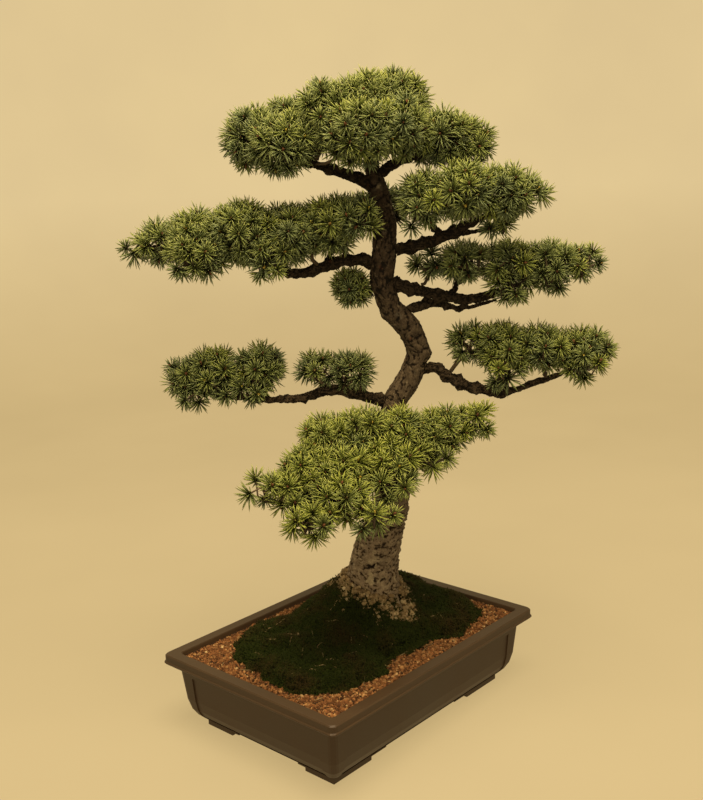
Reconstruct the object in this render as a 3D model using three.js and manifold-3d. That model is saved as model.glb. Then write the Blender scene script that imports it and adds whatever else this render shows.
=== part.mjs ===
// A cedar bonsai in its tray pot: a curved trunk with layered foliage pads on a mossed mound,
// in an unglazed rectangular pot with a wide lip and four corner feet.
// Millimetres, +Z up. The pot's long side runs along X; the feet stand on z = 0.
// Points of the tree are [right, back, up] in its own frame, seen from the tree's best side,
// and FACING turns that frame to the pot.
import * as THREE from "three";
import { mergeVertices } from "three/addons/utils/BufferGeometryUtils.js";
import Module from "manifold-3d";

const wasm = await Module();
wasm.setup();

// ---------------------------------------------------------------- driving dimensions

const GAP = 0.4; // between any two pieces that rest against each other
const FACING = THREE.MathUtils.degToRad(-48); // the tree's best side looks over the pot's corner

const POT_LENGTH = 400;
const POT_WIDTH = 292;
const POT_HEIGHT = 100;
const FOOT_HEIGHT = 9;
const FLOOR = 7; // thickness of the pot's floor
const WALL = 9;
const LIP = 17; // width of the flat top of the rim
const LIP_FACE = 12; // height of the rim's outer face
const LIP_BEAD = 1.2; // the bead along the foot of that face stands out this far
const BODY_INSET = 14; // the body stands this far inside the rim's outer edge
const BODY_TOP = 80; // height where the body meets the underside of the rim
const BODY_TAPER = 8; // further inset of the inner walls at the pot's floor
const CORNER_RADIUS = 8; // of the rim, seen from above
const INNER_RADIUS = 4; // of the pot's inner corners
const FLOOR_CHAMFER = 14; // where the inner walls meet the floor
const PANEL_MARGIN = 25; // from the body's corner to the recessed panel
const PANEL_DEPTH = 1.6;
const PANEL_TOP = 72;
const PANEL_BOTTOM = 12;
const FOOT_INSET = 37.5; // of the feet's outer faces
const FOOT_WIDTH = 22;
const FOOT_ENDS = [96.5, 63]; // from the pot's middle to the feet, along its length and its width
const FOOT_STEP = [27.5, 12]; // each foot's upper half reaches this much further in
const DRAIN_RADIUS = 14;
const DRAIN_X = 88;
const DRAIN_SIDES = 24;
const SCREEN_SIZE = 46;
const SCREEN_THICKNESS = 1.6;
const SCREEN_HOLES = 4; // along each side
const SCREEN_BAR = 2.4;

const GRAVEL_TOP = 95;
const GRAVEL_BASE = 86;
const MOSS_THICKNESS = 8;

const TREE_BASE = 10; // the tree's own heights count from this level
const STEP_LENGTH = 15; // between the sections of a thin limb; half its radius more on a thick one
const TRUNK_SIDES = 12;
const STEM_SIDES = 7;
const FORK_SIDES = 5;
const ROOT_SIDES = 6;

// Ellipsoids that together make the mound: [x, y, z, half length, half width, half height].
const MOUND = [
  [20, -2, 90, 76, 66, 80],
  [14, 0, 90, 114, 88, 54],
  [-86, -26, 90, 76, 74, 29],
  [92, -34, 90, 80, 70, 30],
  [86, 34, 90, 80, 74, 42],
  [-72, 29, 90, 79, 75, 28],
];

const FLOOR_TOP = FOOT_HEIGHT + FLOOR;

// ---------------------------------------------------------------- materials

const finish = (color, roughness) =>
  () => new THREE.MeshStandardMaterial({ color, roughness, metalness: 0 });

const unglazedClay = finish(0x4a382b, 0.6);
const plasticMesh = finish(0x1f1f1d, 0.7);
const darkSoil = finish(0x3a2a1e, 1);
const clayGranules = finish(0xa56b3c, 0.95);
const mossGreen = finish(0x2e3a1b, 1);
const bark = finish(0x5c4a3c, 0.95);
const needles = finish(0x5f7a52, 0.75);

// ---------------------------------------------------------------- solids

// A three.js geometry as a solid that can be joined and cut.
function solid(geometry) {
  const bare = geometry.clone();
  bare.deleteAttribute("normal");
  bare.deleteAttribute("uv");
  const merged = mergeVertices(bare, 1e-4);
  return new wasm.Manifold(new wasm.Mesh({
    numProp: 3,
    vertProperties: new Float32Array(merged.attributes.position.array),
    triVerts: new Uint32Array(merged.index.array),
  }));
}

const joined = (solids) => solids.reduce((whole, next) => whole.add(next));

const bonsai = new THREE.Group();

// Adds a solid to the object as a named mesh.
function piece(name, body, material) {
  const { vertProperties, triVerts } = body.getMesh();
  const geometry = new THREE.BufferGeometry();
  geometry.setAttribute("position", new THREE.BufferAttribute(vertProperties, 3));
  geometry.setIndex(new THREE.BufferAttribute(triVerts, 1));
  const flat = geometry.toNonIndexed();
  flat.computeVertexNormals();
  const mesh = new THREE.Mesh(flat, material());
  mesh.name = name;
  bonsai.add(mesh);
}

function box(width, depth, height, x, y, z) {
  return solid(new THREE.BoxGeometry(width, depth, height).translate(x, y, z));
}

// ---------------------------------------------------------------- pot

// A closed body of round-cornered rectangles, one for each [inset, height, corner radius].
// The first and last rectangles are closed flat. Insets count from the rim's outer edge.
function tray(profile, cornerSteps = 4) {
  const rows = [profile[0], ...profile, profile.at(-1)];
  const columns = 4 * (cornerSteps + 1);
  const places = rows.map(([, height]) => new THREE.Vector2(1, height));
  const geometry = new THREE.LatheGeometry(places, columns);
  const position = geometry.attributes.position;
  for (let i = 0; i < position.count; i++) {
    const row = i % rows.length;
    const column = Math.floor(i / rows.length) % columns;
    const [inset, height, radius] = rows[row];
    if (row === 0 || row === rows.length - 1) {
      position.setXYZ(i, 0, 0, height);
      continue;
    }
    const corner = Math.floor(column / (cornerSteps + 1));
    const turn = corner + (column % (cornerSteps + 1)) / cornerSteps;
    const angle = (turn * Math.PI) / 2;
    const sideX = corner === 0 || corner === 3 ? 1 : -1;
    const sideY = corner < 2 ? 1 : -1;
    position.setXYZ(
      i,
      sideX * (POT_LENGTH / 2 - inset - radius) + radius * Math.cos(angle),
      sideY * (POT_WIDTH / 2 - inset - radius) + radius * Math.sin(angle),
      height,
    );
  }
  return solid(geometry);
}

// Inset of the pot's inner face at a height: it leans out under the lip, and is steep below.
function innerInset(height) {
  const wallInset = BODY_INSET + WALL;
  if (height > BODY_TOP) {
    return LIP + ((wallInset - LIP) * (POT_HEIGHT - height)) / (POT_HEIGHT - BODY_TOP);
  }
  return wallInset + (BODY_TAPER * (BODY_TOP - height)) / (BODY_TOP - FLOOR_TOP);
}

// The outside of the body from its rounded bottom edge up to the rim, pushed in by some depth.
function outerProfile(depth) {
  return [
    [39, FOOT_HEIGHT],
    [35, FOOT_HEIGHT + 0.6],
    [31, 12],
    [26, 17],
    [21.5, 25],
    [18, 39],
    [BODY_INSET, BODY_TOP],
  ].map(([inset, height]) => [inset + depth, height, CORNER_RADIUS]);
}

function potBody() {
  const lipBase = POT_HEIGHT - LIP_FACE;
  const chamferTop = FLOOR_TOP + FLOOR_CHAMFER;
  return tray([
    ...outerProfile(0),
    [BODY_INSET - 4, BODY_TOP + 3.5, CORNER_RADIUS],
    [1.5, lipBase - 0.5, CORNER_RADIUS],
    [0, lipBase + 1, CORNER_RADIUS],
    [0, lipBase + 2, CORNER_RADIUS],
    [LIP_BEAD, lipBase + 3.5, CORNER_RADIUS],
    [LIP_BEAD, POT_HEIGHT - 1.5, CORNER_RADIUS],
    [LIP_BEAD + 1.5, POT_HEIGHT, CORNER_RADIUS],
    [LIP - 1, POT_HEIGHT, INNER_RADIUS + 1],
    [LIP, POT_HEIGHT - 1, INNER_RADIUS + 1],
    [innerInset(BODY_TOP), BODY_TOP, INNER_RADIUS],
    [innerInset(chamferTop), chamferTop, INNER_RADIUS],
    [innerInset(FLOOR_TOP) + FLOOR_CHAMFER, FLOOR_TOP, INNER_RADIUS],
  ]);
}

// An L-shaped foot under one corner, made of two layers with a step at each end.
function cornerFoot(sideX, sideY) {
  const layer = ([reachX, reachY], base, height) => {
    const cornerX = POT_LENGTH / 2 - FOOT_INSET;
    const cornerY = POT_WIDTH / 2 - FOOT_INSET;
    const endX = FOOT_ENDS[0] - reachX;
    const endY = FOOT_ENDS[1] - reachY;
    const outline = [
      [cornerX, cornerY],
      [endX, cornerY],
      [endX, cornerY - FOOT_WIDTH],
      [cornerX - FOOT_WIDTH, cornerY - FOOT_WIDTH],
      [cornerX - FOOT_WIDTH, endY],
      [cornerX, endY],
    ].map(([x, y]) => new THREE.Vector2(sideX * x, sideY * y));
    const geometry = new THREE.ExtrudeGeometry(new THREE.Shape(outline), {
      depth: height,
      bevelEnabled: false,
    });
    return solid(geometry.translate(0, 0, base));
  };
  const lower = layer([0, 0], 0, FOOT_HEIGHT + 1);
  const upper = layer(FOOT_STEP, FOOT_HEIGHT / 2, FOOT_HEIGHT / 2 + 1);
  return lower.add(upper);
}

// Cuts the shallow panel in each of the four faces, equally deep all the way down.
function panelCutter() {
  const height = PANEL_TOP - PANEL_BOTTOM;
  const middle = (PANEL_TOP + PANEL_BOTTOM) / 2;
  const long = POT_LENGTH - 2 * (BODY_INSET + PANEL_MARGIN);
  const wide = POT_WIDTH - 2 * (BODY_INSET + PANEL_MARGIN);
  const lengthwise = box(long, POT_WIDTH, height, 0, 0, middle);
  const crosswise = box(POT_LENGTH, wide, height, 0, 0, middle);
  return lengthwise.add(crosswise).subtract(tray(outerProfile(PANEL_DEPTH)));
}

function drainHole(x) {
  const hole = new THREE.CylinderGeometry(DRAIN_RADIUS, DRAIN_RADIUS, 2 * FLOOR_TOP, DRAIN_SIDES);
  return solid(hole.rotateX(Math.PI / 2).translate(x, 0, FLOOR_TOP));
}

function makePot() {
  const feet = [];
  for (const sideX of [-1, 1]) {
    for (const sideY of [-1, 1]) feet.push(cornerFoot(sideX, sideY));
  }
  const cutters = [panelCutter(), drainHole(-DRAIN_X), drainHole(DRAIN_X)];
  const pot = joined([potBody(), ...feet]).subtract(joined(cutters));
  piece("pot", pot, unglazedClay);
}

// The plastic grilles that keep the soil in over the two drain holes.
function makeScreens() {
  const pitch = (SCREEN_SIZE - SCREEN_BAR) / SCREEN_HOLES;
  const height = FLOOR_TOP + GAP + SCREEN_THICKNESS / 2;
  for (const [name, x] of [["drain_screen_left", -DRAIN_X], ["drain_screen_right", DRAIN_X]]) {
    const holes = [];
    for (let row = 0; row < SCREEN_HOLES; row++) {
      for (let column = 0; column < SCREEN_HOLES; column++) {
        const holeX = x + (column - (SCREEN_HOLES - 1) / 2) * pitch;
        const holeY = (row - (SCREEN_HOLES - 1) / 2) * pitch;
        const side = pitch - SCREEN_BAR;
        holes.push(box(side, side, 3 * SCREEN_THICKNESS, holeX, holeY, height));
      }
    }
    const plate = box(SCREEN_SIZE, SCREEN_SIZE, SCREEN_THICKNESS, x, 0, height);
    piece(name, plate.subtract(joined(holes)), plasticMesh);
  }
}

// ---------------------------------------------------------------- tree

// A tapering limb through [right, back, up, radius] points: a straight round stick bent along its curve.
function limb(points, sides, grow) {
  const curve = new THREE.CatmullRomCurve3(
    points.map(([right, back, up]) => new THREE.Vector3(right, back, up + TREE_BASE)),
  );
  const widest = Math.max(...points.map((point) => point[3]));
  const steps = Math.ceil(curve.getLength() / (STEP_LENGTH + widest / 2));
  const radiusAt = (u) => {
    const at = curve.getUtoTmapping(u) * (points.length - 1);
    const before = Math.min(Math.floor(at), points.length - 2);
    return THREE.MathUtils.lerp(points[before][3], points[before + 1][3], at - before) + grow;
  };
  const profile = [new THREE.Vector2(0, 0)];
  for (let step = 0; step <= steps; step++) {
    profile.push(new THREE.Vector2(radiusAt(step / steps), step));
  }
  profile.push(new THREE.Vector2(0, steps));
  const geometry = new THREE.LatheGeometry(profile, sides);
  const frames = curve.computeFrenetFrames(steps);
  const position = geometry.attributes.position;
  const at = new THREE.Vector3();
  for (let i = 0; i < position.count; i++) {
    const step = Math.round(position.getY(i));
    curve.getPointAt(step / steps, at);
    at.addScaledVector(frames.binormals[step], position.getX(i));
    at.addScaledVector(frames.normals[step], position.getZ(i));
    position.setXYZ(i, at.x, at.y, at.z);
  }
  return solid(geometry.rotateZ(FACING));
}

const FOOT_OF_TRUNK = [25, 11];
// Surface roots around the foot of the trunk: [heading in degrees, reach].
const ROOTS = [[-150, 46], [-95, 42], [-35, 45], [25, 46], [90, 44], [165, 60]];

const TRUNK = [
  [25, 12, 88, 40],
  [25, 11, 112, 39],
  [25, 9, 134, 37],
  [26, 7, 158, 34],
  [30, 5, 190, 30],
  [40, 2, 226, 26.5],
  [52, -1, 260, 23],
  [57, -4, 304, 20.5],
  [54, -5, 348, 17.5],
  [57, 0, 386, 15],
  [74, 5, 413, 14.5],
  [89, 8, 436, 15],
  [92, 6, 458, 15.5],
  [82, 2, 481, 15],
  [66, -1, 498, 14.8],
  [53, -3, 514, 14.5],
  [47, -5, 534, 14],
  [48, -5, 556, 15],
  [53, -4, 582, 15.5],
  [54, -2, 606, 14],
  [51, 0, 634, 12.5],
  [42, 2, 660, 11],
  [39, 3, 688, 8],
  [46, 0, 718, 5],
  [52, -2, 742, 3],
];

function trunkBody(grow = 0) {
  const roots = ROOTS.map(([heading, reach]) => {
    const angle = THREE.MathUtils.degToRad(heading);
    const out = (distance, up, radius) => [
      FOOT_OF_TRUNK[0] + distance * Math.cos(angle),
      FOOT_OF_TRUNK[1] + distance * Math.sin(angle),
      up,
      radius,
    ];
    const points = [out(10, 158, 9), out(27, 136, 13), out(reach * 0.8, 116, 12), out(reach, 100, 9)];
    return limb(points, ROOT_SIDES, grow);
  });
  return joined([limb(TRUNK, TRUNK_SIDES, grow), ...roots]);
}

// Each branch: its main stem first, then its forks.
const BRANCHES = {
  left_upper: [
    [[44, -4, 562, 8.5], [15, -4, 569, 8], [-15, -8, 564, 7.8], [-43, -12, 555, 7], [-68, -15, 558, 5.6],
      [-109, -16, 571, 4.8], [-156, -10, 582, 4], [-203, 2, 586, 3.2], [-240, 12, 590, 2.4]],
    [[-66, -15, 558, 4.5], [-84, -34, 570, 3.4], [-98, -52, 582, 2.2]],
    [[-66, -14, 558, 4.5], [-80, 12, 574, 3.4], [-90, 34, 588, 2.2]],
    [[-20, -8, 563, 5], [-12, 14, 580, 3.6], [-10, 30, 596, 2.4]],
  ],
  right_upper: [
    [[58, -4, 578, 8.5], [86, -8, 582, 7.6], [107, -16, 587, 7.2], [126, -26, 596, 7.4], [150, -36, 608, 5],
      [178, -42, 622, 3.6], [206, -42, 632, 2.4]],
    [[122, -24, 594, 5], [104, -40, 610, 4], [92, -52, 624, 2.6]],
    [[128, -26, 596, 5], [158, -18, 598, 3.6], [190, -14, 603, 2.4]],
  ],
  right_middle: [
    [[58, -3, 538, 8.6], [90, -3, 529, 8], [107, -4, 525, 8], [125, -4, 521, 7.5], [152, -4, 516, 7],
      [190, -2, 523, 5.2], [223, 0, 532, 4], [258, 2, 540, 3], [288, 2, 548, 2]],
    [[132, -4, 520, 5], [140, 20, 534, 3.8], [144, 38, 550, 2.4]],
    [[188, -2, 523, 4], [204, -28, 532, 3], [216, -46, 544, 2]],
  ],
  right_middle_stub: [
    [[72, 0, 501, 7.4], [98, 5, 511, 7.2], [116, 9, 512, 5.6], [144, 14, 503, 3.6], [170, 18, 507, 3],
      [190, 20, 512, 2.4]],
  ],
  right_lower: [
    [[94, 8, 431, 8.6], [110, 6, 433, 8], [126, 4, 421, 7.4], [143, 2, 411, 7.4], [160, 2, 404, 6.8],
      [178, 2, 402, 6.8], [195, 0, 398, 7], [212, -2, 403, 5.2], [230, -4, 410, 4.8], [248, -4, 415, 4.4],
      [268, -3, 422, 3.6], [298, 0, 432, 2.4]],
    [[178, 2, 403, 5], [186, -22, 418, 3.6], [190, -34, 432, 2.2]],
    [[196, 0, 399, 5], [204, 22, 420, 3.8], [210, 38, 440, 2.4]],
  ],
  left_lower: [
    [[50, -1, 392, 7.8], [13, -5, 404, 8], [-9, -8, 412, 8], [-29, -8, 410, 7.4], [-51, -8, 403, 5.6],
      [-94, -8, 401, 4.6], [-135, -6, 405, 4], [-173, -4, 411, 3.2], [-202, -2, 420, 2.2]],
    [[-4, -7, 411, 5], [-8, 12, 424, 3.6], [-12, 22, 436, 2.4]],
    [[-92, -8, 401, 4], [-108, -28, 414, 3], [-118, -38, 424, 2]],
    [[-96, -8, 401, 4], [-106, 16, 418, 3], [-112, 30, 432, 2]],
  ],
  front: [
    [[54, -8, 350, 8.6], [46, -34, 352, 8], [34, -62, 346, 7.4], [14, -90, 336, 6.4], [-14, -118, 324, 5.2],
      [-46, -140, 316, 4], [-78, -154, 314, 2.8]],
    [[44, -40, 351, 6], [74, -62, 350, 5], [104, -70, 350, 4], [138, -66, 358, 2.8]],
    [[12, -92, 335, 5], [32, -118, 326, 4], [40, -146, 316, 2.6]],
    [[-12, -117, 325, 4.5], [-6, -148, 312, 3.4], [8, -172, 304, 2.2]],
  ],
  rear_upper: [
    [[53, 6, 604, 8], [52, 28, 600, 7.4], [48, 54, 600, 6.4], [42, 86, 604, 5], [36, 116, 608, 3.8],
      [32, 142, 612, 2.6]],
    [[48, 54, 600, 5], [68, 76, 608, 4], [84, 104, 612, 2.6]],
  ],
  rear_lower: [
    [[56, 4, 336, 8.4], [52, 28, 324, 8], [40, 58, 310, 7], [26, 90, 302, 5.6], [16, 122, 298, 4.2],
      [12, 150, 298, 2.8]],
    [[38, 62, 309, 5], [56, 86, 306, 4], [68, 116, 304, 2.6]],
  ],
  crown_left: [
    [[45, 1, 650, 9], [22, -4, 664, 8], [-6, -8, 674, 6.6], [-38, -10, 684, 5.2], [-70, -8, 692, 4],
      [-100, -6, 700, 2.8]],
    [[-10, -8, 675, 5], [-30, -30, 684, 3.8], [-46, -46, 690, 2.4]],
  ],
  crown_right: [
    [[43, 2, 664, 8], [64, -4, 678, 7], [88, -8, 688, 5.8], [114, -10, 694, 4.4], [140, -8, 698, 2.8]],
    [[66, -4, 679, 5], [78, -28, 688, 3.8], [84, -44, 696, 2.4]],
  ],
  trunk_tuft: [
    [[42, -4, 526, 4.2], [26, -2, 530, 3.6], [12, 0, 534, 2.6]],
  ],
};

function branchBody(name, grow = 0) {
  const [stem, ...forks] = BRANCHES[name];
  return joined([limb(stem, STEM_SIDES, grow), ...forks.map((fork) => limb(fork, FORK_SIDES, grow))]);
}

// Each foliage pad is a cloud of lobes: [right, back, up, half width, half depth, half height].
const PADS = {
  left_upper: [
    [-252, 14, 588, 22, 26, 20], [-215, 8, 596, 34, 42, 28], [-168, -4, 602, 42, 54, 34],
    [-116, -12, 605, 44, 60, 40], [-62, -12, 601, 44, 58, 37], [-12, -12, 610, 40, 52, 36],
    [22, -40, 618, 32, 30, 28], [-170, -40, 580, 42, 32, 30], [-84, -46, 576, 34, 28, 28],
  ],
  right_upper: [
    [98, -52, 640, 34, 38, 34], [142, -52, 646, 40, 46, 36], [188, -44, 643, 38, 42, 34],
    [218, -38, 640, 26, 32, 27], [86, -62, 622, 24, 26, 22], [182, -18, 608, 27, 26, 20],
  ],
  right_middle: [
    [106, 6, 560, 26, 34, 20], [148, -2, 562, 38, 52, 25], [200, 0, 560, 40, 58, 26],
    [250, 2, 560, 38, 52, 25], [290, 2, 555, 28, 38, 22], [202, -20, 532, 34, 32, 22],
    [246, -14, 538, 32, 34, 18],
  ],
  right_lower: [
    [152, 6, 461, 27, 36, 27], [190, -2, 458, 36, 48, 30], [192, -26, 430, 28, 28, 26],
    [240, -2, 454, 40, 52, 30], [292, 0, 450, 40, 46, 29], [290, -16, 433, 30, 34, 22],
  ],
  left_lower_tip: [
    [-196, -4, 432, 28, 34, 28], [-160, -4, 437, 36, 48, 32], [-106, -2, 440, 34, 46, 32],
    [-125, -26, 416, 34, 26, 20], [-180, -24, 413, 28, 26, 18],
  ],
  left_lower_inner: [
    [-34, -2, 436, 28, 36, 24], [8, -4, 434, 34, 40, 24],
  ],
  front: [
    [152, -62, 379, 26, 30, 25], [112, -68, 370, 36, 40, 30], [66, -78, 373, 38, 40, 30],
    [18, -84, 376, 40, 42, 30], [-26, -88, 370, 36, 40, 30], [92, -98, 347, 32, 32, 24],
    [48, -112, 345, 40, 36, 30], [-4, -124, 342, 42, 38, 32], [-46, -126, 342, 36, 36, 30],
    [-98, -158, 334, 28, 28, 24], [-64, -150, 326, 34, 34, 26], [-10, -162, 318, 40, 36, 29],
    [28, -178, 301, 32, 28, 22], [-44, -186, 299, 34, 30, 24], [50, -138, 328, 32, 32, 24],
  ],
  rear_upper: [
    [10, 82, 620, 36, 34, 25], [60, 92, 626, 40, 38, 26], [36, 132, 620, 40, 34, 24],
    [-18, 116, 613, 32, 34, 22],
  ],
  rear_lower: [
    [2, 92, 320, 38, 36, 24], [54, 102, 322, 40, 40, 26], [-34, 124, 310, 34, 34, 22],
    [30, 144, 308, 42, 36, 24],
  ],
  crown_left: [
    [-100, -12, 713, 36, 44, 39], [-62, -42, 704, 42, 42, 38], [-56, 22, 720, 44, 46, 42],
  ],
  crown_top: [
    [-8, -24, 734, 44, 48, 44], [36, -4, 744, 48, 54, 44], [72, 12, 748, 40, 48, 42],
    [26, -62, 712, 48, 38, 40], [72, -48, 718, 36, 38, 38], [22, 48, 722, 48, 44, 38],
  ],
  crown_right: [
    [122, -18, 708, 40, 46, 34], [154, -2, 700, 32, 40, 31], [112, 38, 706, 38, 40, 32],
  ],
  trunk_tuft: [
    [12, 0, 535, 21, 20, 18],
  ],
};

function padBody(name, grow = 0) {
  return joined(PADS[name].map(([right, back, up, width, depth, height], index) => {
    const lobe = new THREE.IcosahedronGeometry(1, 1).rotateZ(index);
    lobe.scale(width + grow, depth + grow, height + grow);
    return solid(lobe.translate(right, back, up + TREE_BASE).rotateZ(FACING));
  }));
}

function makeTree() {
  piece("trunk", trunkBody(), bark);
  const grownTrunk = trunkBody(GAP);
  let wood = grownTrunk;
  for (const name of Object.keys(BRANCHES)) {
    piece(`branch_${name}`, branchBody(name).subtract(wood), bark);
    wood = wood.add(branchBody(name, GAP));
  }
  let taken = wood;
  for (const name of Object.keys(PADS)) {
    piece(`foliage_${name}`, padBody(name).subtract(taken), needles);
    taken = taken.add(padBody(name, GAP));
  }
  return grownTrunk;
}

// ---------------------------------------------------------------- soil, gravel and moss

function mound(grow) {
  return joined(MOUND.map(([x, y, z, length, width, height]) => {
    const lobe = new THREE.SphereGeometry(1, 16, 8).rotateX(Math.PI / 2);
    lobe.scale(length + grow, width + grow, height + grow);
    return solid(lobe.translate(x, y, z));
  }));
}

// The soil fills the pot up to the gravel and rises in a mound under the moss.
function makeSoil(grownTrunk) {
  const chamferTop = FLOOR_TOP + FLOOR_CHAMFER;
  const fill = tray([
    [innerInset(FLOOR_TOP) + FLOOR_CHAMFER + GAP, FLOOR_TOP + GAP, INNER_RADIUS],
    [innerInset(chamferTop) + GAP, chamferTop + GAP, INNER_RADIUS],
    [innerInset(BODY_TOP) + GAP, BODY_TOP, INNER_RADIUS],
    [innerInset(GRAVEL_BASE) + GAP, GRAVEL_BASE, INNER_RADIUS],
  ]);
  const screenRoom = SCREEN_SIZE + 2 * GAP;
  const screenHeight = SCREEN_THICKNESS + 2 * GAP;
  const screens = [-DRAIN_X, DRAIN_X].map((x) =>
    box(screenRoom, screenRoom, 2 * screenHeight, x, 0, FLOOR_TOP));
  const core = mound(-MOSS_THICKNESS).subtract(
    box(POT_LENGTH, POT_WIDTH, GRAVEL_BASE, 0, 0, GRAVEL_BASE / 2 - 1));
  piece("soil", fill.add(core).subtract(joined([grownTrunk, ...screens])), darkSoil);
}

function makeGravel() {
  const base = GRAVEL_BASE + GAP;
  const layer = tray([
    [innerInset(base) + GAP, base, INNER_RADIUS],
    [innerInset(GRAVEL_TOP) + GAP, GRAVEL_TOP, INNER_RADIUS],
  ]);
  piece("gravel", layer.subtract(mound(GAP)), clayGranules);
}

function makeMoss(grownTrunk) {
  const base = GRAVEL_BASE + GAP;
  const below = box(POT_LENGTH, POT_WIDTH, base, 0, 0, base / 2);
  const inside = mound(GAP - MOSS_THICKNESS);
  piece("moss", mound(0).subtract(joined([below, inside, grownTrunk])), mossGreen);
}

makePot();
makeScreens();
const grownTrunk = makeTree();
makeSoil(grownTrunk);
makeGravel();
makeMoss(grownTrunk);

// The origin is under the middle of the whole object's outline.
const middle = new THREE.Box3().setFromObject(bonsai).getCenter(new THREE.Vector3());
bonsai.position.set(-middle.x, -middle.y, 0);

export default bonsai;
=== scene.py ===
"""A cedar bonsai in an unglazed tray pot: needles, twigs, bark, moss, granules and clay over the CAD frame.

Everything is in metres. Pieces of the tree grow from the frame's own nodes: the wood is refined from the
trunk and branch solids, and the tufts of needles stand on the surface of the foliage solids.
"""

import math

import bmesh
import bpy
import numpy as np
from mathutils import Matrix, Vector, noise
from mathutils.bvhtree import BVHTree


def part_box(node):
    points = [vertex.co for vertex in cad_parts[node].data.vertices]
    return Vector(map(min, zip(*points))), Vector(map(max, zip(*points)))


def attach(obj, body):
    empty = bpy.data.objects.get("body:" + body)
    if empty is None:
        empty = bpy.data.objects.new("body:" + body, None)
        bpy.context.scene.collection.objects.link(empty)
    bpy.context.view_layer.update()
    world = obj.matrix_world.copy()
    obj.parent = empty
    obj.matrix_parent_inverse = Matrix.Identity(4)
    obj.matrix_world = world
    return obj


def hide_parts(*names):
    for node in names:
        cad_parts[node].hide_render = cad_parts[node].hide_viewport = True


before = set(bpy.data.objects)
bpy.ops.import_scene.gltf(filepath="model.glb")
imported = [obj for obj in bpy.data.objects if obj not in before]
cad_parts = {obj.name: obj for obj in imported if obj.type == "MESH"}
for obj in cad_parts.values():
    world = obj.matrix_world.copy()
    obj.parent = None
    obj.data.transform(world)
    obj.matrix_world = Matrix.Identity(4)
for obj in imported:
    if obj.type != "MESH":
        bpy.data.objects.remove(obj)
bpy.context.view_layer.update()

MM = 0.001
UP = np.array([0.0, 0.0, 1.0])
NOISE_SEED = 11

noise.seed_set(NOISE_SEED)  # without this the clock seeds vector noise, and the bark differs at each run

# ------------------------------------------------------------------ camera

POT_LOW, POT_HIGH = (Vector(corner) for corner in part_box("pot"))
POT_MIDDLE = (POT_LOW + POT_HIGH) / 2

CAMERA_FROM_POT = Vector((-0.942, -0.858, 0.6847))
CAMERA_YAW = math.radians(42.04)  # heading of the view, from +X towards +Y
CAMERA_PITCH = math.radians(12.35)  # how far the view looks down
CAMERA_ROLL = math.radians(-1.93)
LENS_MM = 47.46
SENSOR_MM = 36


def make_camera():
    forward = Vector((
        math.cos(CAMERA_YAW) * math.cos(CAMERA_PITCH),
        math.sin(CAMERA_YAW) * math.cos(CAMERA_PITCH),
        -math.sin(CAMERA_PITCH),
    ))
    level = forward.cross(Vector((0, 0, 1))).normalized()
    above = level.cross(forward)
    right = math.cos(CAMERA_ROLL) * level + math.sin(CAMERA_ROLL) * above
    up = right.cross(forward)
    data = bpy.data.cameras.new("camera")
    data.lens = LENS_MM
    data.sensor_width = SENSOR_MM
    data.clip_end = 100
    camera = bpy.data.objects.new("camera", data)
    bpy.context.scene.collection.objects.link(camera)
    place = Vector((POT_MIDDLE.x, POT_MIDDLE.y, POT_LOW.z)) + CAMERA_FROM_POT
    turn = Matrix((right, up, -forward)).transposed().to_4x4()
    camera.matrix_world = Matrix.Translation(place) @ turn
    bpy.context.scene.camera = camera


make_camera()

# ------------------------------------------------------------------ helpers


def linked_object(name, mesh):
    """A new object in the scene that shows a mesh."""
    made = bpy.data.objects.new(name, mesh)
    bpy.context.scene.collection.objects.link(made)
    return made


def mesh_piece(name, vertices, faces, material, uv=None, smooth=True):
    """A new object from arrays: faces all have the same number of corners, uv is one row per vertex."""
    mesh = bpy.data.meshes.new(name)
    corners = faces.shape[1]
    mesh.vertices.add(len(vertices))
    mesh.vertices.foreach_set("co", np.ascontiguousarray(vertices, dtype=np.float32).ravel())
    mesh.loops.add(faces.size)
    mesh.loops.foreach_set("vertex_index", faces.astype(np.int32).ravel())
    mesh.polygons.add(len(faces))
    mesh.polygons.foreach_set("loop_start", np.arange(len(faces), dtype=np.int32) * corners)
    mesh.update(calc_edges=True)
    if uv is not None:
        layer = mesh.uv_layers.new(name="OFBake")
        layer.data.foreach_set("uv", uv[faces.ravel()].astype(np.float32).ravel())
    if smooth:
        mesh.shade_smooth()
    else:
        mesh.shade_flat()
    mesh.materials.append(material)
    return linked_object(name, mesh)


def arrays_of(mesh):
    """(vertices, triangles) of a mesh as arrays."""
    mesh.calc_loop_triangles()
    vertices = np.empty(len(mesh.vertices) * 3, dtype=np.float32)
    mesh.vertices.foreach_get("co", vertices)
    triangles = np.empty(len(mesh.loop_triangles) * 3, dtype=np.int32)
    mesh.loop_triangles.foreach_get("vertices", triangles)
    return vertices.reshape(-1, 3).astype(float), triangles.reshape(-1, 3)


def node_arrays(node):
    return arrays_of(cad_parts[node].data)


def search_tree(vertices, faces):
    """A tree that finds the nearest place on a mesh, or where a ray meets it."""
    return BVHTree.FromPolygons([Vector(v) for v in vertices], [tuple(f) for f in faces.tolist()])


def tree_of(node):
    return search_tree(*node_arrays(node))


def unit(vectors):
    """Each row scaled to length 1."""
    return vectors / np.maximum(np.linalg.norm(vectors, axis=-1, keepdims=True), 1e-12)


def smoothstep(low, high, value):
    """0 up to low, 1 from high on, and a smooth rise between."""
    t = np.clip((value - low) / (high - low), 0, 1)
    return t * t * (3 - 2 * t)


# ------------------------------------------------------------------ materials


def grey(level):
    return (level, level, level)


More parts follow.
